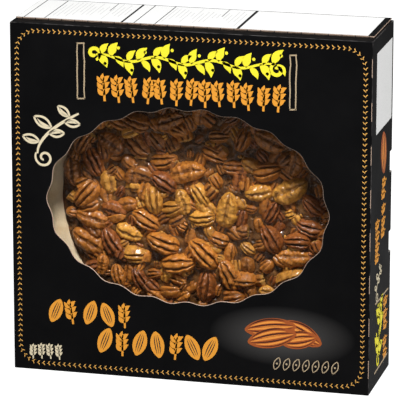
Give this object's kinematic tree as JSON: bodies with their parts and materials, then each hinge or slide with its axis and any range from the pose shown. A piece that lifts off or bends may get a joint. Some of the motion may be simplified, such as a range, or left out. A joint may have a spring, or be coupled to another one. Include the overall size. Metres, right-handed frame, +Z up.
{
  "type": "boxed pecan pie",
  "caption": "Whole pecan pie in a foil tin, standing upright in a shut windowed carton with a scalloped oval window.",
  "frame": {"origin": "middle of the carton's underside", "axes": "+Z up, the windowed front faces -Y, +X runs to the right along the front"},
  "size_m": [0.216, 0.06, 0.2128],
  "materials": {
    "printed_board": "coated folding boxboard printed matt black",
    "clear_film": "clear thin film",
    "foil": "bright pressed foil",
    "pastry": "pale baked shortcrust",
    "filling": "set brown-sugar filling, glazed",
    "pecan_amber": "glazed baked nut",
    "pecan_gold": "glazed baked nut, pale",
    "pecan_brown": "glazed baked nut, dark",
    "pecan_red": "glazed baked nut, reddish"
  },
  "bodies": {
    "root": {"carton": "printed_board", "crust": "pastry", "filling": "filling", "pecan_01_cleft_brown": "pecan_brown", "pecan_02_ridged_brown": "pecan_brown", "pecan_03_ridged_amber": "pecan_amber", "pecan_04_cleft_amber": "pecan_amber", "pecan_05_broken_amber": "pecan_amber", "pecan_06_ridged_amber": "pecan_amber", "pecan_07_ridged_brown": "pecan_brown", "pecan_08_ridged_amber": "pecan_amber", "pecan_09_cleft_brown": "pecan_brown", "pecan_10_broken_amber": "pecan_amber", "pecan_11_cleft_red": "pecan_red", "pecan_12_ridged_amber": "pecan_amber", "pecan_13_cleft_brown": "pecan_brown", "pecan_14_cleft_gold": "pecan_gold", "pecan_15_cleft_gold": "pecan_gold", "pecan_16_ridged_red": "pecan_red", "pecan_17_cleft_gold": "pecan_gold", "pecan_18_ridged_gold": "pecan_gold", "pecan_19_cleft_gold": "pecan_gold", "pecan_20_ridged_gold": "pecan_gold", "pecan_21_broken_amber": "pecan_amber", "pecan_22_ridged_red": "pecan_red", "pecan_23_cleft_brown": "pecan_brown", "pecan_24_broken_brown": "pecan_brown", "pecan_25_ridged_red": "pecan_red", "pecan_26_cleft_brown": "pecan_brown", "pecan_27_ridged_amber": "pecan_amber", "pecan_28_cleft_red": "pecan_red", "pecan_29_ridged_gold": "pecan_gold", "pecan_30_ridged_amber": "pecan_amber", "pecan_31_cleft_amber": "pecan_amber", "pecan_32_cleft_gold": "pecan_gold", "pecan_33_ridged_amber": "pecan_amber", "pecan_34_ridged_red": "pecan_red", "pecan_35_ridged_gold": "pecan_gold", "pecan_36_ridged_amber": "pecan_amber", "pecan_37_ridged_amber": "pecan_amber", "pecan_38_ridged_amber": "pecan_amber", "pecan_39_broken_brown": "pecan_brown", "pecan_40_ridged_red": "pecan_red", "pecan_41_ridged_red": "pecan_red", "pecan_42_ridged_amber": "pecan_amber", "pecan_43_cleft_amber": "pecan_amber", "pecan_44_cleft_amber": "pecan_amber", "pecan_45_ridged_red": "pecan_red", "pecan_46_broken_gold": "pecan_gold", "pecan_47_ridged_red": "pecan_red", "pecan_48_ridged_red": "pecan_red", "pecan_49_cleft_amber": "pecan_amber", "pecan_50_ridged_gold": "pecan_gold", "pecan_51_ridged_red": "pecan_red", "pecan_52_cleft_brown": "pecan_brown", "pecan_53_ridged_brown": "pecan_brown", "pecan_54_ridged_brown": "pecan_brown", "pecan_55_ridged_brown": "pecan_brown", "pie_tin": "foil", "window_film": "clear_film"}
  },
  "joints": []
}
